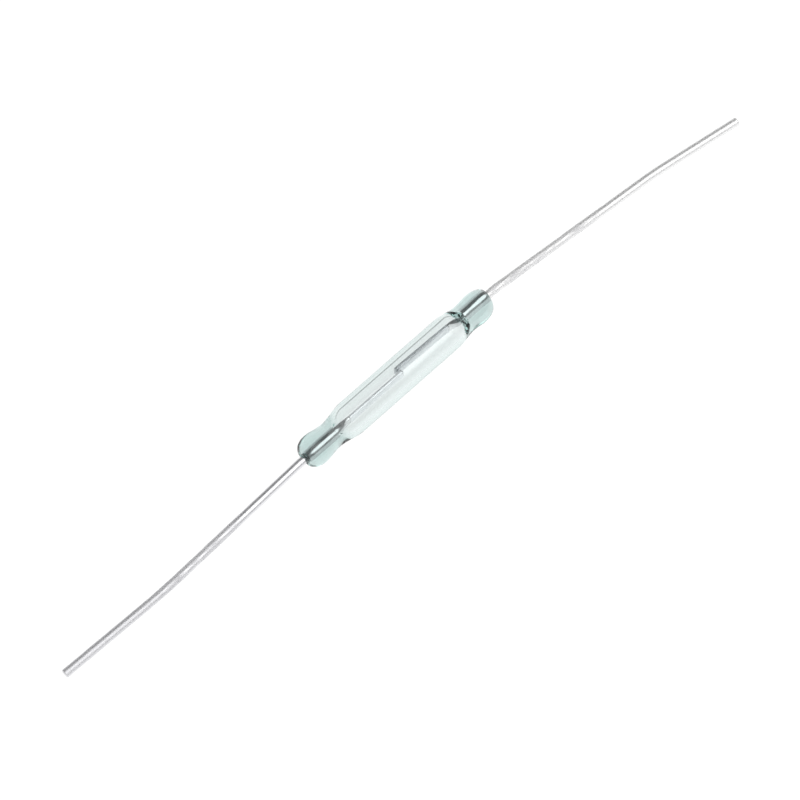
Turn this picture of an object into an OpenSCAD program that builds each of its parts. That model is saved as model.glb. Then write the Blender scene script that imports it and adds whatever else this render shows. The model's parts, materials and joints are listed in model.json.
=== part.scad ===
// Glass reed switch: two flat springy reeds, fused into the ends of a sealed glass tube.
// A magnet pulls the overlapping blades together. The leads are the round ends of the same wires.
// The axis of the glass is X, the blades stand on edge along Z, and they close along Y.

/* [Glass] */
// Length of the glass from end to end
glass_len = 13.75; // [12:0.05:20]
// Outer diameter of the tube
tube_d = 2.05; // [1.8:0.05:2.6]
// Thickness of the tube's wall
wall = 0.3; // [0.15:0.01:0.35]

/* [Left seal] */
// Length from the left end to the place where the cavity's curve starts on the axis
left_seal_len = 2; // [1.4:0.05:3]
// Length over which the cavity closes in on the left lead
left_cavity_taper = 1.45; // [0.3:0.05:1.8]
// Diameter of the rounded rim round the left lead
left_rim_d = 0.72; // [0.68:0.02:1]
// Depth of the dimple inside that rim
left_dimple = 0.34; // [0.1:0.02:0.5]
// Diameter of the left bead at its widest
left_bead_d = 1.84; // [1.7:0.02:2]
// Length from the end of the glass to the widest place of the left bead
left_bead_len = 0.82; // [0.6:0.02:1.1]
// Diameter of the waist behind the left bead
left_waist_d = 1.6; // [1.4:0.02:1.68]
// Length from the bead's widest place to the left waist
left_neck_len = 1.16; // [0.7:0.02:1.3]
// Length from the left waist to the full tube
left_shoulder_len = 1.55; // [0.6:0.05:1.8]

/* [Right seal] */
// Length from the right end to the place where the cavity's curve starts on the axis
right_seal_len = 1.5; // [1.4:0.05:3]
// Length over which the cavity closes in on the right lead
right_cavity_taper = 1.3; // [0.3:0.05:1.8]
// Diameter of the rounded rim round the right lead
right_rim_d = 0.8; // [0.78:0.02:1]
// Depth of the dimple inside that rim
right_dimple = 0.1; // [0.06:0.02:0.5]
// Diameter of the right bead at its widest
right_bead_d = 1.8; // [1.7:0.02:2]
// Length from the end of the glass to the widest place of the right bead
right_bead_len = 0.94; // [0.6:0.02:1.1]
// Diameter of the waist behind the right bead
right_waist_d = 1.66; // [1.4:0.02:1.7]
// Length from the bead's widest place to the right waist
right_neck_len = 0.8; // [0.7:0.02:1.3]
// Length from the right waist to the full tube
right_shoulder_len = 1.45; // [0.6:0.05:1.8]

/* [Leads] */
// Diameter of the round wire
lead_d = 0.5; // [0.4:0.01:0.54]
// Length of each lead outside the glass, along its bends
lead_len = 17.5; // [14:0.1:30]
// Straight length of lead before its first bend
exit_len = 0.3; // [0.1:0.05:1]
// Length from the glass to the corner of the left lead's second bend
left_second_bend_at = 10.6; // [8:0.1:12]
// Length from the glass to the corner of the right lead's second bend
right_second_bend_at = 11.8; // [8:0.1:12]
// Radius of each lead's first bend, at the middle of the wire
first_bend_r = 5; // [4:0.5:20]
// Radius of the right lead's second bend
bend_r = 18; // [5:1:20]
// Radius of the left lead's slow second bend
slow_bend_r = 40; // [20:1:70]
// Angle of the left lead's first bend
left_first_bend = 2.1; // [0.5:0.1:6]
// Angle of the left lead's second bend, which turns back
left_second_bend = 3.6; // [0.5:0.1:6]
// Angle of the right lead's first bend
right_first_bend = 5.3; // [0.5:0.1:6]
// Angle of the right lead's second bend, which turns on
right_second_bend = 3.8; // [0.5:0.1:6]
// Width of the bevel round each cut tip
tip_bevel = 0.05; // [0.02:0.01:0.1]

/* [Reeds] */
// Place of the left wire across the glass, along Y
left_reed_y = -0.03; // [-0.08:0.01:0]
// Place of the right wire across the glass, along Y
right_reed_y = 0.12; // [0:0.01:0.13]
// Length that the right blade is set over along Y, at its root
right_set_over = 0.08; // [0:0.01:0.12]
// Length over which the round wire is pressed flat
flatten_len = 0.95; // [0.5:0.05:1.2]
// Width of the flat blade
blade_w = 0.86; // [0.6:0.02:0.9]
// Thickness of the flat blade
blade_t = 0.2; // [0.15:0.01:0.25]
// Radius of the corners at a blade's tip
blade_tip_r = 0.12; // [0.05:0.01:0.25]
// Length over which the two blades lie over each other
overlap_len = 0.26; // [0.2:0.01:1]
// Place of the middle of the overlap along the glass
overlap_at = 0.28; // [-0.6:0.01:0.6]
// Gap between the open contacts, at the middle of the overlap
contact_gap = 0.11; // [0.04:0.005:0.16]

/* [Hidden] */
$fn = 64;

// A cut runs this far past the face that it opens
cut = 0.1;
// Thickness and number of sides of the slices that roots and bends are stretched between
slice = 0.02;
facets = 32;
// Straight pieces in each bend
bend_steps = 2;
// Straight steps in each curve of the glass outline
steps = 10;

glass_end = glass_len / 2;
tube_r = tube_d / 2;
bore_r = tube_r - wall;
lead_r = lead_d / 2;
left_outline = seal_outline(rim_r = left_rim_d / 2, dimple = left_dimple, bead_r = left_bead_d / 2,
                            bead_len = left_bead_len, waist_r = left_waist_d / 2,
                            neck_len = left_neck_len, shoulder_len = left_shoulder_len);
right_outline = seal_outline(rim_r = right_rim_d / 2, dimple = right_dimple, bead_r = right_bead_d / 2,
                             bead_len = right_bead_len, waist_r = right_waist_d / 2,
                             neck_len = right_neck_len, shoulder_len = right_shoulder_len);

// Place along X where each wire starts to flatten, and where its flat blade starts to flex
left_mouth_x = -glass_end + left_seal_len + mouth_depth(left_cavity_taper, left_reed_y);
right_mouth_x = glass_end - right_seal_len - mouth_depth(right_cavity_taper, right_reed_y);
left_flex_x = left_mouth_x + flatten_len;
right_flex_x = right_mouth_x - flatten_len;

// The left blade runs straight on. The right one is set over and turned at its root to leave the contact gap
right_flex_y = right_reed_y + right_set_over;
right_contact_y = left_reed_y + blade_t + contact_gap;
right_set = atan2(right_contact_y - right_flex_y, right_flex_x - overlap_at);
left_blade_len = overlap_at + overlap_len / 2 - left_flex_x;
right_blade_len = (right_flex_x - overlap_at + overlap_len / 2) / cos(right_set);

// Each bend is its angle and its radius: a positive angle turns the outgoing wire to its own left
left_bends = [[left_first_bend, first_bend_r], [-left_second_bend, slow_bend_r]];
right_bends = [[-right_first_bend, first_bend_r], [-right_second_bend, bend_r]];

// Smooth step from 0 to 1 as t runs from 0 to 1
function ease(t) = (1 - cos(180 * t)) / 2;

// Depth past the start of the cavity where it is wide enough for a wire that lies at y
function mouth_depth(taper, y) = taper * asin((lead_r + abs(y)) / bore_r) / 90;

// Half outline of one seal, as [radius, distance from the end of the glass], from the axis to the tube
function seal_outline(rim_r, dimple, bead_r, bead_len, waist_r, neck_len, shoulder_len) = concat(
    [[0, dimple]],
    [for (i = [0:steps - 1]) [lead_r + (rim_r - lead_r) * i / steps, dimple * (1 - ease(i / steps))]],
    [for (i = [0:steps]) [rim_r + (bead_r - rim_r) * sin(90 * i / steps),
                          bead_len * (1 - cos(90 * i / steps))]],
    [for (i = [1:steps]) [bead_r + (waist_r - bead_r) * ease(i / steps),
                          bead_len + neck_len * i / steps]],
    [for (i = [1:steps]) [waist_r + (tube_r - waist_r) * ease(i / steps),
                          bead_len + neck_len + shoulder_len * i / steps]]);

// Half outline of one end of the cavity: a quarter sine that opens from the wire to the full bore
function cavity_outline(seal_len, taper) =
    [for (i = [0:steps]) [bore_r * sin(90 * i / steps), seal_len + taper * i / steps]];

function reversed(points) = [for (i = [len(points) - 1:-1:0]) points[i]];

// Turns two end outlines into one closed half section along the glass
function half_section(left_end, right_end) = concat(
    [for (p = left_end) [p[0], p[1] - glass_end]],
    [for (p = reversed(right_end)) [p[0], glass_end - p[1]]]);

// Length of wire that one bend takes up, and the length that its tangents take from the corner
function arc_len(bend) = PI * bend[1] * abs(bend[0]) / 180;
function tangent_len(bend) = bend[1] * tan(abs(bend[0]) / 2);

// Straight lengths of a lead that starts at its mouth: into the first bend, to the second, and the tail
function lead_straights(seal_reach, bends, second_bend_at) = let (
    first = exit_len,
    middle = second_bend_at - exit_len - 2 * tangent_len(bends[0]) - tangent_len(bends[1]),
    tail = lead_len - first - middle - arc_len(bends[0]) - arc_len(bends[1]))
    [seal_reach + first, middle, tail];

// Solid of revolution about X
module turned(section) {
    rotate([0, 90, 0])
        rotate_extrude()
            polygon(section);
}

// Straight round bar along +X
module bar(length) {
    rotate([0, 90, 0])
        cylinder(d = lead_d, h = length);
}

// Puts its children a share of the way round a bend, along the wire there
module round_bend(bend, share = 1) {
    turn = bend[0] * share;
    translate([bend[1] * sin(abs(turn)), sign(turn) * bend[1] * (1 - cos(turn)), 0])
        rotate([0, 0, turn])
            children();
}

// Thin round slice of wire, square to X
module wire_slice() {
    rotate([0, 90, 0])
        cylinder(d = lead_d, h = slice, $fn = facets);
}

// Round bar that leaves along +X and turns about Z, in short straight pieces
module bend_piece(bend) {
    for (i = [1:bend_steps])
        hull() {
            round_bend(bend, (i - 1) / bend_steps)
                wire_slice();
            round_bend(bend, i / bend_steps)
                translate([-slice, 0, 0])
                    wire_slice();
        }
}

// Straight tail along +X, with a bevelled tip
module tail(length) {
    bar(length - tip_bevel);
    translate([length - tip_bevel, 0, 0])
        rotate([0, 90, 0])
            cylinder(r1 = lead_r, r2 = lead_r - tip_bevel, h = tip_bevel);
}

// Lead along +X from its mouth: through the seal, round two bends and out to the tip
module lead_wire(straights, bends) {
    bar(straights[0]);
    translate([straights[0], 0, 0]) {
        bend_piece(bends[0]);
        round_bend(bends[0]) {
            bar(straights[1]);
            translate([straights[1], 0, 0]) {
                bend_piece(bends[1]);
                round_bend(bends[1])
                    tail(straights[2]);
            }
        }
    }
}

// Root of a reed, along +X: the round wire presses out into the flat blade, moved aside and turned by set
module flattened_root(aside, set) {
    hull() {
        wire_slice();
        translate([flatten_len, aside, 0])
            rotate([0, 0, set])
                translate([-slice, -blade_t / 2, -blade_w / 2])
                    cube([slice, blade_t, blade_w]);
    }
}

// Flat blade along +X from the place where it flexes, with round corners at its tip
module blade(length) {
    rotate([90, 0, 0])
        linear_extrude(blade_t, center = true)
            union() {
                translate([0, -blade_w / 2])
                    square([length - blade_tip_r, blade_w]);
                translate([0, -blade_w / 2 + blade_tip_r])
                    square([length, blade_w - 2 * blade_tip_r]);
                for (side = [-1, 1])
                    translate([length - blade_tip_r, side * (blade_w / 2 - blade_tip_r)])
                        circle(r = blade_tip_r);
            }
}

// Hole in one seal that the glass closes round the wire, from outside the end into the cavity
module seal_bore(from_x, to_x, y) {
    translate([from_x, y, 0])
        bar(to_x - from_x);
}

module glass_envelope() {
    color([0.78, 0.9, 0.88, 0.5])
        difference() {
            turned(half_section(left_outline, right_outline));
            turned(half_section(cavity_outline(left_seal_len, left_cavity_taper),
                                cavity_outline(right_seal_len, right_cavity_taper)));
            seal_bore(-glass_end - cut, left_mouth_x, left_reed_y);
            seal_bore(right_mouth_x, glass_end + cut, right_reed_y);
        }
}

module left_lead() {
    color([0.78, 0.78, 0.8])
        translate([left_mouth_x, left_reed_y, 0]) {
            rotate([0, 0, 180])
                lead_wire(lead_straights(glass_end + left_mouth_x, left_bends, left_second_bend_at), left_bends);
            flattened_root(0, 0);
        }
}

module right_lead() {
    color([0.78, 0.78, 0.8])
        translate([right_mouth_x, right_reed_y, 0]) {
            lead_wire(lead_straights(glass_end - right_mouth_x, right_bends, right_second_bend_at), right_bends);
            rotate([0, 0, 180])
                flattened_root(-right_set_over, -right_set);
        }
}

module left_reed() {
    color([0.7, 0.72, 0.74])
        translate([left_flex_x, left_reed_y, 0])
            blade(left_blade_len);
}

module right_reed() {
    color([0.7, 0.72, 0.74])
        translate([right_flex_x, right_flex_y, 0])
            rotate([0, 0, 180 - right_set])
                blade(right_blade_len);
}

glass_envelope();
left_lead();
right_lead();
left_reed();
right_reed();
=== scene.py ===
"""Looks of the glass reed switch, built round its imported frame.

Everything is in the part's own frame, in metres: +X along the glass, +Z up along the width of the blades.
Names that end in _MM are sizes in millimetres and names that end in _DEG are angles in degrees.
"""

import json
import math

import bpy
import numpy as np
from mathutils import Matrix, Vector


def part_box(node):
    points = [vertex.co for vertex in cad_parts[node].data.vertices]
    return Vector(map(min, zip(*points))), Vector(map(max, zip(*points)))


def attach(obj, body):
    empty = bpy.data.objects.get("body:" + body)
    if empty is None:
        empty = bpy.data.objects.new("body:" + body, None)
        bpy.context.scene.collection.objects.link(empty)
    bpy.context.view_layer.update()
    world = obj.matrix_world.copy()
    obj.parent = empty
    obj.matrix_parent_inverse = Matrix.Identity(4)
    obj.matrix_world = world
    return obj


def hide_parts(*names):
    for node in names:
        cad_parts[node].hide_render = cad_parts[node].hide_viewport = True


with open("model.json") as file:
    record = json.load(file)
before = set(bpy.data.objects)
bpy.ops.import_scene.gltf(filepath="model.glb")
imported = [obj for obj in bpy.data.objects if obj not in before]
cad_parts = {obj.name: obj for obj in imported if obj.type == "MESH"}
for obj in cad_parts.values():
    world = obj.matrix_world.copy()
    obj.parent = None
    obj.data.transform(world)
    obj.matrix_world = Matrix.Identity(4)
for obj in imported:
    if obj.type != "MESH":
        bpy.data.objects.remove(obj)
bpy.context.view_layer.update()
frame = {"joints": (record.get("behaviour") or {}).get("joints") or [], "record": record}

MM = 0.001

# The photograph's view: where the camera stands, and the pixel that shows the middle of the glass.
IMAGE_PX = 800
CAMERA_AZIMUTH_DEG = -43.07
CAMERA_ELEVATION_DEG = 70.0
CAMERA_DISTANCE_MM = 240.0
CAMERA_CLIP_MM = (10.0, 10000.0)
PX_PER_MM = 18.35
GLASS_MIDDLE_PX = (396.5, 377.8)
SENSOR_MM = 36.0

# The studio: where the soft light ends, and how bright it and the walls are. 1 is white.
LIGHT_LEAN_DEG = 16.0
LIGHT_HALF_DEG = 31.0
LIGHT_EDGE_DEG = 5.0
SOFT_LIGHT = 2.0
FAR_WALL = 0.20
NEAR_WALL = 0.42
BACKDROP_TOP_DEG = (5.0, 9.0)
# The far wall turns into the near wall between these two values of a direction's Y.
WALL_FADE_Y = (0.3, -0.9)

# The floor: how white its paper is, how brightly it shows, and how much of what shows is that plain glow.
FLOOR_HALF_MM = 600.0
PAPER_WHITE = 0.92
FLOOR_GLOW = 1.16
GLOW_SHARE = 0.85
# Painted shade on the far floor: between these two places along Y its glow, as metal and glass show it, falls
# to this share, while the eye still sees that floor white. It gives them a dark reflection on the far side.
PAINTED_SHADE_MM = (3.2, 7.0)
PAINTED_SHADE_GLOW = 0.35

# The glass: what the frame gives, and the sizes of its two melted ends.
GLASS_LOW, GLASS_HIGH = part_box("glass_envelope")
GLASS_END_MM = GLASS_HIGH.x / MM
TUBE_R_MM = GLASS_HIGH.z / MM
WALL_MM = 0.30
BORE_R_MM = TUBE_R_MM - WALL_MM
# Lengths count from the end of the glass inwards. The bead leans out on its +Y side, and the cavity's end
# slants out on its -Y side, by the last two.
LEFT_SEAL = {
    "wire_y": -0.03,
    "fused": 2.00,
    "taper": 1.45,
    "rim_r": 0.36,
    "dimple": 0.34,
    "bead_r": 0.92,
    "bead": 0.82,
    "waist_r": 0.80,
    "neck": 1.16,
    "shoulder": 1.55,
    "lean": 0.0,
    "slant": 0.0,
}
RIGHT_SEAL = {
    "wire_y": 0.12,
    "fused": 1.50,
    "taper": 1.30,
    "rim_r": 0.40,
    "dimple": 0.10,
    "bead_r": 0.90,
    "bead": 0.94,
    "waist_r": 0.83,
    "neck": 0.80,
    "shoulder": 1.45,
    "lean": 0.07,
    "slant": 0.04,
}
# Melted glass is never quite round: the seals depart from a circle by this much. It grows with the distance
# from the middle of the glass, and dies out at the small radius of the rims.
SEAL_WOBBLE_MM = 0.012
WOBBLE_START_MM = 3.2
WOBBLE_EASE_MM = 1.2
RIM_START_MM = 0.45
RIM_EASE_MM = 0.3
# The lobes of that wobble: their number round the glass, their share, and their twist for each millimetre.
SEAL_LOBES = ((2, 1.0, 1.1), (3, 0.7, -0.8))
# The glass grips the wire a little below its surface, so that no gap shows between them, and lets go of it
# a little before the mouth of the cavity.
GRIP_MM = 0.004
GRIP_STOP_MM = 0.1
# Its index of refraction, and the tint that light takes on in it, by its density for each metre.
GLASS_IOR = 1.52
GLASS_TINT = (0.125, 0.43, 0.40, 1)
TINT_DENSITY = 400.0

# The wires: their ends lie on the mounts, and their blades turn at the joints.
MOUNTS = {m["name"]: m for m in frame["record"]["mounts"]}
JOINTS = {j["name"]: j for j in frame["joints"]}
LEAD_R_MM = MOUNTS["left_lead"]["dims"]["r_mm"]
LEAD_LEN_MM = 17.5
EXIT_MM = 0.30
TIP_ROUND_MM = 0.06
FLATTEN_MM = 0.95
BLADE_W_MM = 0.86
BLADE_T_MM = 0.20
BLADE_TIP_R_MM = 0.12
# Room at its root that lets a blade turn without cutting into its lead.
ROOT_ROOM_MM = 0.003
# Each lead's way: heading as it leaves the glass, corner of its second bend, both bends as their angle,
# positive to the left of the outgoing wire, and their radius.
LEFT_WAY = {"heading": 180.0, "second": 10.6, "bends": ((2.1, 5.0), (-3.6, 40.0))}
RIGHT_WAY = {"heading": 0.0, "second": 11.8, "bends": ((-5.3, 5.0), (-3.8, 18.0))}
# The tin lies unevenly on the wire, thicker and thinner by this much. It starts outside the glass and grows
# over a length, in waves given by their radians for each millimetre and their phase.
TIN_RUNS_MM = 0.002
TIN_START_MM = 0.5
TIN_GROWS_MM = 5.0
TIN_WAVES = ((2.1, 0.0), (3.7, 1.0), (7.9, 2.0))
# A pressed blade keeps slightly bulged edges: the power of its rounded section.
ROUND_POWER = 2.0
BLADE_POWER = 7.0

# The grain of the metals: how far its clouds and its lines are drawn out along X, the lines' share of it,
# the part of the noise that makes up its tones, and the height of its bumps.
CLOUD_DRAWN = (0.3, 1, 1)
LINE_DRAWN = (0.12, 1, 1)
GRAIN_NOISE = {"Detail": 2.0, "Roughness": 0.5}
LINE_SHARE = 0.2
TONE_RANGE = (0.36, 0.64)
BUMP_MM = 0.02

# How the leads look. Between two places along X the bare wire turns into tin, between two others the tin
# grows mottled, and between the last two it calms again and takes its calm tone. Colour and roughness run
# from the dark, rough end to the light, smooth end with the tone. The two shares of metal are those of even
# and of mottled tin.
# The two leads are one wire under one tin. The left lead's darker bare and tin colours and its dark calm tone
# are painted shade. The right lead's lighter colours are painted light. The matte share of the tin is partly
# its real dullness and partly painted light that lightens the wire's dark edge.
LEFT_WIRE_LOOK = {
    "tin_mm": (-6.8, -7.1),
    "mottle_mm": (-10.5, -13.0),
    "calm_mm": (-17.0, -19.5),
    "calm_tone": 0.42,
    "grain": {"Cloud Scale": 3000.0, "Line Scale": 16000.0},
    "bump": 0.8,
    "bare": (0.64, 0.64, 0.65),
    "bare_rough": 0.16,
    "dark": (0.80, 0.80, 0.82),
    "light": (0.86, 0.86, 0.88),
    "metal": (1.0, 0.65),
    "rough": (0.72, 0.36),
}
RIGHT_WIRE_LOOK = {
    "tin_mm": (6.6, 7.0),
    "mottle_mm": (6.9, 7.6),
    "calm_mm": (13.0, 15.5),
    "calm_tone": 0.9,
    "grain": {"Cloud Scale": 3600.0, "Line Scale": 14000.0},
    "bump": 0.6,
    "bare": (0.70, 0.70, 0.71),
    "bare_rough": 0.16,
    "dark": (0.93, 0.93, 0.94),
    "light": (0.98, 0.98, 0.98),
    "metal": (0.66, 0.60),
    "rough": (0.90, 0.36),
}
# The tone of the even tin beside the glass.
EVEN_TONE = 0.9
# How the blades look. They are one metal: the left one's darker colours are painted shade, and the right
# one's lighter colours and half matte share are painted light that lightens its dark upper edge.
LEFT_REED_LOOK = {
    "grain": {"Cloud Scale": 1800.0, "Line Scale": 12000.0, "Bump Strength": 0.10},
    "dark": (0.77, 0.78, 0.80),
    "light": (0.87, 0.88, 0.90),
    "metal": 1.0,
    "rough": (0.36, 0.28),
}
RIGHT_REED_LOOK = {
    "grain": {"Cloud Scale": 1800.0, "Line Scale": 12000.0, "Bump Strength": 0.12},
    "dark": (0.86, 0.87, 0.90),
    "light": (0.94, 0.95, 0.98),
    "metal": 0.5,
    "rough": (0.44, 0.33),
}


def eased(t):
    """Smooth step: half a cosine wave that climbs from 0 to 1 as t runs from 0 to 1."""
    return (1 - np.cos(np.pi * np.clip(t, 0, 1))) / 2


def surface(name, grid, wrap_rows=False):
    """Mesh of a grid of points, rows by places round each row, in millimetres.

    Each row closes on itself. With wrap_rows the last row also joins the first, as on a ring.
    Otherwise a fan of triangles to its middle closes each end, and those end faces are flat.
    """
    rows, around = grid.shape[:2]
    points = grid.reshape(-1, 3)
    row = np.arange(rows if wrap_rows else rows - 1)[:, None]
    place = np.arange(around)[None, :]
    after_row = (row + 1) % rows
    after_place = (place + 1) % around
    corners = (
        row * around + place,
        row * around + after_place,
        after_row * around + after_place,
        after_row * around + place,
    )
    quads = np.stack(corners, -1).reshape(-1, 4)
    fans = np.zeros((0, 3), int)
    if not wrap_rows:
        middles = np.stack([grid[0].mean(0), grid[-1].mean(0)])
        points = np.concatenate([points, middles])
        ring = np.arange(around)
        after = (ring + 1) % around
        last = (rows - 1) * around
        first_fan = np.stack([after, ring, np.full(around, rows * around)], -1)
        last_fan = np.stack([last + ring, last + after, np.full(around, rows * around + 1)], -1)
        fans = np.concatenate([first_fan, last_fan])
    mesh = bpy.data.meshes.new(name)
    mesh.vertices.add(len(points))
    mesh.vertices.foreach_set("co", (points * MM).astype(np.float32).ravel())
    sizes = np.concatenate([np.full(len(quads), 4), np.full(len(fans), 3)])
    mesh.loops.add(int(sizes.sum()))
    mesh.loops.foreach_set("vertex_index", np.concatenate([quads.ravel(), fans.ravel()]))
    mesh.polygons.add(len(sizes))
    mesh.polygons.foreach_set("loop_start", np.concatenate([[0], np.cumsum(sizes)[:-1]]))
    mesh.polygons.foreach_set("use_smooth", sizes == 4)
    mesh.update(calc_edges=True)
    mesh.validate()
    piece = bpy.data.objects.new(name, mesh)
    bpy.context.scene.collection.objects.link(piece)
    return piece


def rings(radius, along, middle, slant):
    """Rows of a melted end's profile from its four columns, where a single number holds for every row."""
    return np.stack(np.broadcast_arrays(radius, along, middle, slant), -1)


def seal_profile(seal, rows=26):
    """One melted end, outside and inside, as rows of (radius, distance from the end, middle in Y, slant).

    Outside, from the rim: a quarter ellipse to the bead, then two half cosine waves, down to the waist and
    up to the tube. Inside, from the rim: a half cosine wave down the dimple, the straight grip on the wire,
    and a quarter sine wave that opens into the cavity. The rings move from the glass axis to the wire's own.
    """
    t = np.linspace(0, 1, rows)
    grip_r = LEAD_R_MM - GRIP_MM
    bead = rings(
        seal["rim_r"] + (seal["bead_r"] - seal["rim_r"]) * np.sin(np.pi / 2 * t),
        seal["bead"] * (1 - np.cos(np.pi / 2 * t)),
        0.0,
        -seal["lean"],
    )
    neck = rings(
        seal["bead_r"] + (seal["waist_r"] - seal["bead_r"]) * eased(t),
        seal["bead"] + seal["neck"] * t,
        0.0,
        seal["lean"] * (eased(t) - 1),
    )
    shoulder = rings(
        seal["waist_r"] + (TUBE_R_MM - seal["waist_r"]) * eased(t),
        seal["bead"] + seal["neck"] + seal["shoulder"] * t,
        0.0,
        0.0,
    )
    dimple = rings(
        seal["rim_r"] + (grip_r - seal["rim_r"]) * t,
        seal["dimple"] * eased(t),
        seal["wire_y"] * t,
        -seal["lean"],
    )
    mouth = np.arcsin((LEAD_R_MM + abs(seal["wire_y"])) / BORE_R_MM) / (np.pi / 2)
    mouth_at = seal["fused"] + seal["taper"] * mouth
    grip_end = mouth_at - seal["slant"] - GRIP_STOP_MM
    grip = rings(
        grip_r,
        seal["dimple"] + (grip_end - seal["dimple"]) * t,
        seal["wire_y"],
        seal["lean"] * (t - 1),
    )
    u = mouth + (1 - mouth) * t
    cavity = rings(
        BORE_R_MM * np.sin(np.pi / 2 * u),
        seal["fused"] + seal["taper"] * u,
        0.0,
        seal["slant"] * (1 - eased(t)),
    )
    outside = np.concatenate([bead, neck[1:], shoulder[1:]])
    return outside, np.concatenate([dimple[1:], grip[1:], cavity])


def glass_tube(around=192, tube_rows=24):
    """The envelope as one closed ring surface: a closed profile carried round the glass axis.

    The profile runs along the outside from the left rim to the right rim, in through the right seal, along
    the bore and out through the left seal. Near the seals the radius wavers with two and three lobes.
    """
    left_out, left_in = seal_profile(LEFT_SEAL)
    right_out, right_in = seal_profile(RIGHT_SEAL)
    left_out[:, 1] -= GLASS_END_MM
    left_in[:, 1] -= GLASS_END_MM
    right_out[:, 1] = GLASS_END_MM - right_out[:, 1]
    right_in[:, 1] = GLASS_END_MM - right_in[:, 1]
    t = np.linspace(0, 1, tube_rows)[1:-1, None]
    wall_out = left_out[-1] + (right_out[-1] - left_out[-1]) * t
    wall_in = right_in[-1] + (left_in[-1] - right_in[-1]) * t
    profile = np.concatenate([left_out, wall_out, right_out[::-1], right_in, wall_in, left_in[::-1]])
    outer = len(left_out) + len(wall_out) + len(right_out)
    radius, along, middle, slant = profile.T
    near_end = eased((np.abs(along[:outer]) - WOBBLE_START_MM) / WOBBLE_EASE_MM)
    off_rim = eased((radius[:outer] - RIM_START_MM) / RIM_EASE_MM)
    wavers = np.zeros(len(profile))
    wavers[:outer] = near_end * off_rim
    turn = np.linspace(0, 2 * np.pi, around, endpoint=False)[None, :]
    lobes = sum(
        share * np.cos(number * turn + twist * along[:, None])
        for number, share, twist in SEAL_LOBES
    )
    r = radius[:, None] + SEAL_WOBBLE_MM * wavers[:, None] * lobes
    x = along[:, None] - slant[:, None] * np.cos(turn)
    grid = np.stack([x, middle[:, None] + r * np.cos(turn), r * np.sin(turn)], -1)
    return surface("glass_tube", grid, wrap_rows=True)


def swept_wire(name, path, heading_deg, half_w, half_t, power, around=64):
    """A section carried along a level path: a superellipse, half_w along Z and half_t across the heading."""
    heading = np.radians(heading_deg)[:, None]
    turn = np.linspace(0, 2 * np.pi, around, endpoint=False)[None, :]
    lift = np.sign(np.cos(turn)) * np.abs(np.cos(turn)) ** (2 / power[:, None])
    side = np.sign(np.sin(turn)) * np.abs(np.sin(turn)) ** (2 / power[:, None])
    across = half_t[:, None] * side
    grid = np.stack(
        [
            path[:, :1] + across * np.sin(heading),
            path[:, 1:] - across * np.cos(heading),
            half_w[:, None] * lift,
        ],
        -1,
    )
    return surface(name, grid)


def stations(*stretches):
    """Places along a wire from (length, steps) stretches, without doubling the places where they meet."""
    edges = np.concatenate([[0], np.cumsum([length for length, _ in stretches])])
    parts = [
        np.linspace(edges[i], edges[i + 1], steps, endpoint=False)
        for i, (_, steps) in enumerate(stretches)
    ]
    return np.concatenate(parts + [edges[-1:]])


def lead_wire(name, joint, way, wire_y, set_deg):
    """A lead, from the flat root where its blade starts, out through the seal and its bends to the cut tip.

    The section eases from the blade's flat shape to the round wire, and the last rings are drawn in along a
    quarter circle to round off the cut. The path is the running sum of short steps along the heading, which
    turns evenly in the bends. In the root a cubic curve leads from the blade's place and slope to those of
    the wire. Three sine waves make the tin thicker and thinner.
    """
    start = np.array(JOINTS[joint]["pos_m"][:2]) / MM
    bends = way["bends"]
    arcs = [math.radians(abs(angle)) * radius for angle, radius in bends]
    tangents = [radius * math.tan(math.radians(abs(angle)) / 2) for angle, radius in bends]
    inside = GLASS_END_MM - abs(start[0])
    middle = way["second"] - EXIT_MM - 2 * tangents[0] - tangents[1]
    tail = LEAD_LEN_MM - EXIT_MM - middle - sum(arcs) - TIP_ROUND_MM
    s = stations(
        (FLATTEN_MM, 40),
        (inside - FLATTEN_MM + EXIT_MM, 40),
        (arcs[0], 16),
        (middle, 100),
        (arcs[1], 16),
        (tail, 60),
        (TIP_ROUND_MM, 8),
    )
    bend_ends = np.cumsum([inside + EXIT_MM, arcs[0], middle, arcs[1]])
    turns = np.array([0, bends[0][0], bends[0][0], bends[0][0] + bends[1][0]])
    heading = np.radians(way["heading"] + np.interp(s, bend_ends, turns))
    halfway = (heading[1:] + heading[:-1]) / 2
    steps = np.diff(s)[:, None] * np.stack([np.cos(halfway), np.sin(halfway)], -1)
    path = np.concatenate([[[start[0], wire_y]], [start[0], wire_y] + np.cumsum(steps, 0)])
    u = np.clip(s / FLATTEN_MM, 0, 1)
    slope = FLATTEN_MM * math.tan(math.radians(set_deg))
    path[:, 1] += (start[1] - wire_y) * (1 - 3 * u**2 + 2 * u**3) + slope * u * (1 - u) ** 2
    leaning = np.gradient(path, s, axis=0)
    heading_deg = np.degrees(np.unwrap(np.arctan2(leaning[:, 1], leaning[:, 0])))
    root = eased(u)
    drawn_in = np.clip((s - s[-1] + TIP_ROUND_MM) / TIP_ROUND_MM, 0, 1)
    cut = TIP_ROUND_MM * (1 - np.sqrt(1 - drawn_in**2))
    runs = sum(np.sin(pace * s + phase) for pace, phase in TIN_WAVES)
    coat = TIN_RUNS_MM * runs * eased((s - inside - TIN_START_MM) / TIN_GROWS_MM)
    half_w = BLADE_W_MM / 2 + (LEAD_R_MM - BLADE_W_MM / 2) * root - cut + coat
    half_t = BLADE_T_MM / 2 + (LEAD_R_MM - BLADE_T_MM / 2) * root - cut + coat
    power = BLADE_POWER + (ROUND_POWER - BLADE_POWER) * root
    return swept_wire(name, path, heading_deg, half_w, half_t, power)


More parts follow.
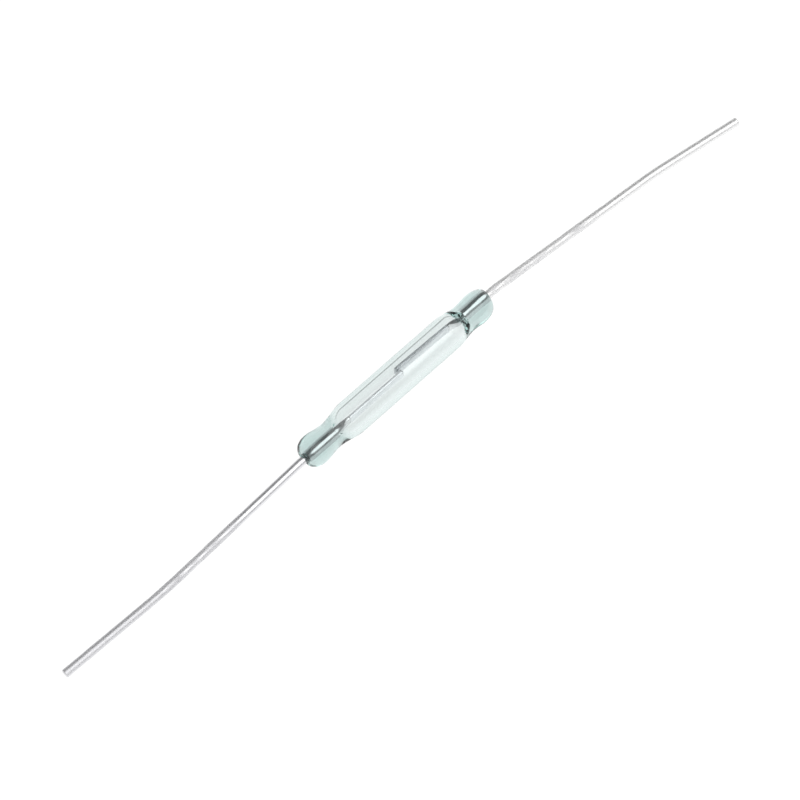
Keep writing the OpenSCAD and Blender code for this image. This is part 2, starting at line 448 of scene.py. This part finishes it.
def reed_blade(name, joint, node, inward_deg):
    """A flat blade, straight from its flexing root to its tip, where quarter circles round its corners."""
    at = np.array(JOINTS[joint]["pos_m"][:2]) / MM
    low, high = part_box(node)
    length = (high.x - low.x) / MM / abs(math.cos(math.radians(inward_deg)))
    s = ROOT_ROOM_MM + stations((length - ROOT_ROOM_MM - BLADE_TIP_R_MM, 60), (BLADE_TIP_R_MM, 14))
    corner = np.clip((s - length + BLADE_TIP_R_MM) / BLADE_TIP_R_MM, 0, 1)
    half_w = BLADE_W_MM / 2 - BLADE_TIP_R_MM * (1 - np.sqrt(1 - corner**2))
    half_t = np.full(len(s), BLADE_T_MM / 2)
    power = np.full(len(s), BLADE_POWER)
    inward = np.array([math.cos(math.radians(inward_deg)), math.sin(math.radians(inward_deg))])
    path = at + s[:, None] * inward
    return swept_wire(name, path, np.full(len(s), inward_deg), half_w, half_t, power)


def placed_node(tree, kind, inputs=None, **settings):
    """A new shader node with its unlinked inputs and settings given."""
    made = tree.nodes.new(kind)
    for key, value in settings.items():
        setattr(made, key, value)
    for key, value in (inputs or {}).items():
        made.inputs[key].default_value = value
    return made


def ramp(tree, start, end, low=0.0, high=1.0, smooth=False):
    """A node that runs from low to high as its value goes from start to end, evenly or in a smooth step."""
    limits = {"From Min": start, "From Max": end, "To Min": low, "To Max": high}
    run = "SMOOTHSTEP" if smooth else "LINEAR"
    return placed_node(tree, "ShaderNodeMapRange", limits, interpolation_type=run)


def empty_material(name):
    """A material with only an output, and its node tree."""
    material = bpy.data.materials.new(name)
    material.use_nodes = True
    material.node_tree.nodes.clear()
    output = material.node_tree.nodes.new("ShaderNodeOutputMaterial")
    return material, material.node_tree, output


def tinted_glass():
    """Clear soda glass. Its blue-green tint comes from the depth of glass that light passes."""
    material, tree, output = empty_material("tinted_glass")
    shader = placed_node(
        tree,
        "ShaderNodeBsdfPrincipled",
        {
            "Base Color": (1, 1, 1, 1),
            "Metallic": 0.0,
            "Roughness": 0.0,
            "IOR": GLASS_IOR,
            "Transmission Weight": 1.0,
        },
    )
    depth = placed_node(tree, "ShaderNodeVolumeAbsorption", {"Color": GLASS_TINT, "Density": TINT_DENSITY})
    tree.links.new(shader.outputs["BSDF"], output.inputs["Surface"])
    tree.links.new(depth.outputs["Volume"], output.inputs["Volume"])
    return material


def metal_grain():
    """Node group that makes metal uneven: a tone and a bumped normal.

    Cloudy noise gives the mottled tin, and fine noise stretched along the wire gives its drawing lines.
    """
    group = bpy.data.node_groups.new("metal_grain", "ShaderNodeTree")
    sockets = group.interface
    for name in ("Cloud Scale", "Line Scale", "Bump Strength"):
        sockets.new_socket(name, in_out="INPUT", socket_type="NodeSocketFloat")
    sockets.new_socket("Tone", in_out="OUTPUT", socket_type="NodeSocketFloat")
    sockets.new_socket("Normal", in_out="OUTPUT", socket_type="NodeSocketVector")
    given = group.nodes.new("NodeGroupInput")
    result = group.nodes.new("NodeGroupOutput")
    place = placed_node(group, "ShaderNodeTexCoord")
    drawn = placed_node(group, "ShaderNodeMapping", {"Scale": CLOUD_DRAWN})
    stretched = placed_node(group, "ShaderNodeMapping", {"Scale": LINE_DRAWN})
    clouds = placed_node(group, "ShaderNodeTexNoise", GRAIN_NOISE)
    lines = placed_node(group, "ShaderNodeTexNoise", GRAIN_NOISE)
    tone = placed_node(group, "ShaderNodeMix", {"Factor": LINE_SHARE}, data_type="FLOAT")
    spread = ramp(group, *TONE_RANGE)
    bump = placed_node(group, "ShaderNodeBump", {"Distance": BUMP_MM * MM})
    link = group.links.new
    link(place.outputs["Object"], drawn.inputs["Vector"])
    link(drawn.outputs[0], clouds.inputs["Vector"])
    link(place.outputs["Object"], stretched.inputs["Vector"])
    link(stretched.outputs[0], lines.inputs["Vector"])
    link(given.outputs["Cloud Scale"], clouds.inputs["Scale"])
    link(given.outputs["Line Scale"], lines.inputs["Scale"])
    link(clouds.outputs[0], tone.inputs["A"])
    link(lines.outputs[0], tone.inputs["B"])
    link(tone.outputs[0], spread.inputs["Value"])
    link(spread.outputs[0], bump.inputs["Height"])
    link(given.outputs["Bump Strength"], bump.inputs["Strength"])
    link(spread.outputs[0], result.inputs["Tone"])
    link(bump.outputs[0], result.inputs["Normal"])
    return group


def toned(tree, look):
    """Nodes for the colour and the roughness that a tone of 0 to 1 picks between a look's two ends."""
    ends = {"A": (*look["dark"], 1), "B": (*look["light"], 1)}
    color = placed_node(tree, "ShaderNodeMix", ends, data_type="RGBA")
    return color, ramp(tree, 0.0, 1.0, *look["rough"])


def blade_metal(name, grain, look):
    """Rolled metal: its colour and roughness run between two values with the grain's tone."""
    material, tree, output = empty_material(name)
    uneven = placed_node(tree, "ShaderNodeGroup", look["grain"], node_tree=grain)
    color, rough = toned(tree, look)
    shader = placed_node(tree, "ShaderNodeBsdfPrincipled", {"Metallic": look["metal"]})
    link = tree.links.new
    link(uneven.outputs["Tone"], color.inputs["Factor"])
    link(uneven.outputs["Tone"], rough.inputs["Value"])
    link(color.outputs["Result"], shader.inputs["Base Color"])
    link(rough.outputs[0], shader.inputs["Roughness"])
    link(uneven.outputs["Normal"], shader.inputs["Normal"])
    link(shader.outputs["BSDF"], output.inputs["Surface"])
    return material


def wire_metal(name, grain, look):
    """A lead: bare wire in the glass, even tin beside it, mottled tin further out, and calmer tin at the tip.

    The shares of tin, of mottling and of calm are smooth steps along X. Tin mixes the bare wire's colour,
    roughness and metal share with its own. Mottling less calm scales the bumps and the changes of tone and
    sets the tin's metal share, and calm moves the even tone to the calm one.
    """
    material, tree, output = empty_material(name)
    place = placed_node(tree, "ShaderNodeTexCoord")
    split = placed_node(tree, "ShaderNodeSeparateXYZ")
    tin, mottle, calm = [
        ramp(tree, start * MM, end * MM, smooth=True)
        for start, end in (look["tin_mm"], look["mottle_mm"], look["calm_mm"])
    ]
    mottled = placed_node(tree, "ShaderNodeMath", operation="SUBTRACT")
    even = ramp(tree, 0.0, 1.0, EVEN_TONE, look["calm_tone"])
    bump = placed_node(tree, "ShaderNodeMath", {1: look["bump"]}, operation="MULTIPLY")
    uneven = placed_node(tree, "ShaderNodeGroup", look["grain"], node_tree=grain)
    tone = placed_node(tree, "ShaderNodeMix", data_type="FLOAT")
    tin_color, tin_rough = toned(tree, look)
    tin_metal = ramp(tree, 0.0, 1.0, *look["metal"])
    color = placed_node(tree, "ShaderNodeMix", {"A": (*look["bare"], 1)}, data_type="RGBA")
    rough = placed_node(tree, "ShaderNodeMix", {"A": look["bare_rough"]}, data_type="FLOAT")
    metal = placed_node(tree, "ShaderNodeMix", {"A": 1.0}, data_type="FLOAT")
    shader = placed_node(tree, "ShaderNodeBsdfPrincipled")
    link = tree.links.new
    link(place.outputs["Object"], split.inputs[0])
    link(split.outputs["X"], tin.inputs["Value"])
    link(split.outputs["X"], mottle.inputs["Value"])
    link(split.outputs["X"], calm.inputs["Value"])
    link(mottle.outputs[0], mottled.inputs[0])
    link(calm.outputs[0], mottled.inputs[1])
    link(mottled.outputs[0], bump.inputs[0])
    link(bump.outputs[0], uneven.inputs["Bump Strength"])
    link(mottled.outputs[0], tone.inputs["Factor"])
    link(calm.outputs[0], even.inputs["Value"])
    link(even.outputs[0], tone.inputs["A"])
    link(uneven.outputs["Tone"], tone.inputs["B"])
    link(tone.outputs["Result"], tin_color.inputs["Factor"])
    link(tone.outputs["Result"], tin_rough.inputs["Value"])
    link(tin.outputs[0], color.inputs["Factor"])
    link(tin_color.outputs["Result"], color.inputs["B"])
    link(tin.outputs[0], rough.inputs["Factor"])
    link(tin_rough.outputs[0], rough.inputs["B"])
    link(mottled.outputs[0], tin_metal.inputs["Value"])
    link(tin.outputs[0], metal.inputs["Factor"])
    link(tin_metal.outputs[0], metal.inputs["B"])
    link(metal.outputs["Result"], shader.inputs["Metallic"])
    link(color.outputs["Result"], shader.inputs["Base Color"])
    link(rough.outputs["Result"], shader.inputs["Roughness"])
    link(uneven.outputs["Normal"], shader.inputs["Normal"])
    link(shader.outputs["BSDF"], output.inputs["Surface"])
    return material


def white_floor():
    """Pale floor that keeps a soft shadow and shows white to the eye.

    In metal and through glass it shows white too, but with painted shade on the far side, a few millimetres
    from the glass, which the eye still sees white; it gives them a dark reflection there.
    """
    material, tree, output = empty_material("white_floor")
    paper_color = (PAPER_WHITE, PAPER_WHITE, PAPER_WHITE, 1)
    diffuse = placed_node(tree, "ShaderNodeBsdfDiffuse", {"Color": paper_color})
    glow = placed_node(tree, "ShaderNodeEmission", {"Color": (1, 1, 1, 1)})
    path = placed_node(tree, "ShaderNodeLightPath")
    place = placed_node(tree, "ShaderNodeTexCoord")
    split = placed_node(tree, "ShaderNodeSeparateXYZ")
    # Painted shade: beyond these places along Y the glow that metal and glass see falls, though the eye sees
    # white there.
    painted_shade = ramp(tree, PAINTED_SHADE_MM[0] * MM, PAINTED_SHADE_MM[1] * MM, 1.0, PAINTED_SHADE_GLOW, smooth=True)
    white = placed_node(tree, "ShaderNodeMath", operation="MAXIMUM")
    strength = placed_node(tree, "ShaderNodeMath", {1: FLOOR_GLOW}, operation="MULTIPLY")
    seen = placed_node(tree, "ShaderNodeMath", operation="MAXIMUM")
    seen_too = placed_node(tree, "ShaderNodeMath", operation="MAXIMUM")
    share = placed_node(tree, "ShaderNodeMath", {1: GLOW_SHARE}, operation="MULTIPLY")
    mixed = placed_node(tree, "ShaderNodeMixShader")
    link = tree.links.new
    link(place.outputs["Object"], split.inputs[0])
    link(split.outputs["Y"], painted_shade.inputs["Value"])
    link(path.outputs["Is Camera Ray"], white.inputs[0])
    link(painted_shade.outputs[0], white.inputs[1])
    link(white.outputs[0], strength.inputs[0])
    link(strength.outputs[0], glow.inputs["Strength"])
    link(path.outputs["Is Camera Ray"], seen.inputs[0])
    link(path.outputs["Is Glossy Ray"], seen.inputs[1])
    link(seen.outputs[0], seen_too.inputs[0])
    link(path.outputs["Is Transmission Ray"], seen_too.inputs[1])
    link(seen_too.outputs[0], share.inputs[0])
    link(share.outputs[0], mixed.inputs[0])
    link(diffuse.outputs[0], mixed.inputs[1])
    link(glow.outputs[0], mixed.inputs[2])
    link(mixed.outputs[0], output.inputs["Surface"])
    return material


def studio_floor():
    """Level square floor under the glass."""
    half = FLOOR_HALF_MM * MM
    level = GLASS_LOW.z
    corners = [(-half, -half, level), (half, -half, level), (half, half, level), (-half, half, level)]
    mesh = bpy.data.meshes.new("floor")
    mesh.from_pydata(corners, [], [(0, 1, 2, 3)])
    mesh.materials.append(white_floor())
    floor = bpy.data.objects.new("floor", mesh)
    bpy.context.scene.collection.objects.link(floor)


def photo_camera():
    """Camera at the photograph's angle, set aside so that the middle of the glass falls on its pixel."""
    azimuth = math.radians(CAMERA_AZIMUTH_DEG)
    elevation = math.radians(CAMERA_ELEVATION_DEG)
    right = np.array([math.cos(azimuth), math.sin(azimuth), 0])
    back = np.array(
        [
            math.sin(azimuth) * math.cos(elevation),
            -math.cos(azimuth) * math.cos(elevation),
            math.sin(elevation),
        ]
    )
    up = np.cross(back, right)
    aside = (GLASS_MIDDLE_PX[0] - IMAGE_PX / 2) / PX_PER_MM
    above = (IMAGE_PX / 2 - GLASS_MIDDLE_PX[1]) / PX_PER_MM
    place = (back * CAMERA_DISTANCE_MM - right * aside - up * above) * MM
    data = bpy.data.cameras.new("camera")
    data.sensor_width = SENSOR_MM
    data.lens = PX_PER_MM * CAMERA_DISTANCE_MM * SENSOR_MM / IMAGE_PX
    data.clip_start = CAMERA_CLIP_MM[0] * MM
    data.clip_end = CAMERA_CLIP_MM[1] * MM
    camera = bpy.data.objects.new("camera", data)
    turned = np.eye(4)
    turned[:3] = np.stack([right, up, back, place], 1)
    camera.matrix_world = Matrix(turned.tolist())
    bpy.context.scene.collection.objects.link(camera)
    bpy.context.scene.camera = camera


def studio_light():
    """A dim room with one wide soft light overhead, leaning to the camera's side, and a low white backdrop.

    The brightness is a smooth step on the angle from the light's middle, and another on the height above the
    backdrop. Between them the near wall is brighter than the far wall, so that round metal shows a dark edge.
    """
    world = bpy.data.worlds.new("studio")
    world.use_nodes = True
    tree = world.node_tree
    tree.nodes.clear()
    output = tree.nodes.new("ShaderNodeOutputWorld")
    background = placed_node(tree, "ShaderNodeBackground", {"Strength": 1.0})
    direction = placed_node(tree, "ShaderNodeTexCoord")
    lean = math.radians(LIGHT_LEAN_DEG)
    towards_light = placed_node(
        tree,
        "ShaderNodeVectorMath",
        {1: (0, -math.sin(lean), math.cos(lean))},
        operation="DOT_PRODUCT",
    )
    light_ends = math.cos(math.radians(LIGHT_HALF_DEG + LIGHT_EDGE_DEG))
    light_full = math.cos(math.radians(LIGHT_HALF_DEG - LIGHT_EDGE_DEG))
    inside = ramp(tree, light_ends, light_full, smooth=True)
    split = placed_node(tree, "ShaderNodeSeparateXYZ")
    wall = ramp(tree, *WALL_FADE_Y, FAR_WALL, NEAR_WALL)
    backdrop_ends = [math.sin(math.radians(height)) for height in BACKDROP_TOP_DEG]
    above_backdrop = ramp(tree, *backdrop_ends, smooth=True)
    around = placed_node(tree, "ShaderNodeMix", {"A": 1.0}, data_type="FLOAT")
    level = placed_node(tree, "ShaderNodeMix", {"B": SOFT_LIGHT}, data_type="FLOAT")
    link = tree.links.new
    link(direction.outputs["Generated"], towards_light.inputs[0])
    link(towards_light.outputs["Value"], inside.inputs["Value"])
    link(direction.outputs["Generated"], split.inputs[0])
    link(split.outputs["Y"], wall.inputs["Value"])
    link(split.outputs["Z"], above_backdrop.inputs["Value"])
    link(above_backdrop.outputs[0], around.inputs["Factor"])
    link(wall.outputs[0], around.inputs["B"])
    link(inside.outputs[0], level.inputs["Factor"])
    link(around.outputs["Result"], level.inputs["A"])
    link(level.outputs[0], background.inputs["Color"])
    link(background.outputs[0], output.inputs["Surface"])
    bpy.context.scene.world = world


def right_set_deg():
    """The angle by which the right blade is set over: from its joint to the middle of its tip."""
    low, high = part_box("right_reed")
    pivot = JOINTS["right_flex"]["pos_m"]
    tip_y = high.y - BLADE_T_MM / 2 * MM
    return math.degrees(math.atan2(tip_y - pivot[1], pivot[0] - low.x))


def dressed(piece, body, node, material):
    """Puts a finished piece on its body in place of its node and its material."""
    piece.data.materials.append(material)
    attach(piece, body)
    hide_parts(node)


bpy.context.scene.view_settings.view_transform = "Standard"
photo_camera()
studio_light()
studio_floor()

grain = metal_grain()
# The left lead's material carries painted shade and the right lead's painted light.
left_wire = wire_metal("left_wire", grain, LEFT_WIRE_LOOK)
right_wire = wire_metal("right_wire", grain, RIGHT_WIRE_LOOK)
# The left blade's material carries painted shade and the right blade's painted light, on one and the same
# metal.
left_reed_painted_shade = blade_metal("left_reed_painted_shade", grain, LEFT_REED_LOOK)
right_reed_painted_light = blade_metal("right_reed_painted_light", grain, RIGHT_REED_LOOK)
right_set = right_set_deg()
dressed(glass_tube(), "capsule", "glass_envelope", tinted_glass())
left_lead = lead_wire("left_lead_wire", "left_flex", LEFT_WAY, LEFT_SEAL["wire_y"], 0.0)
dressed(left_lead, "capsule", "left_lead", left_wire)
right_lead = lead_wire("right_lead_wire", "right_flex", RIGHT_WAY, RIGHT_SEAL["wire_y"], -right_set)
dressed(right_lead, "capsule", "right_lead", right_wire)
left_blade = reed_blade("left_blade", "left_flex", "left_reed", 0.0)
dressed(left_blade, "left_blade", "left_reed", left_reed_painted_shade)
right_blade = reed_blade("right_blade", "right_flex", "right_reed", 180.0 - right_set)
dressed(right_blade, "right_blade", "right_reed", right_reed_painted_light)
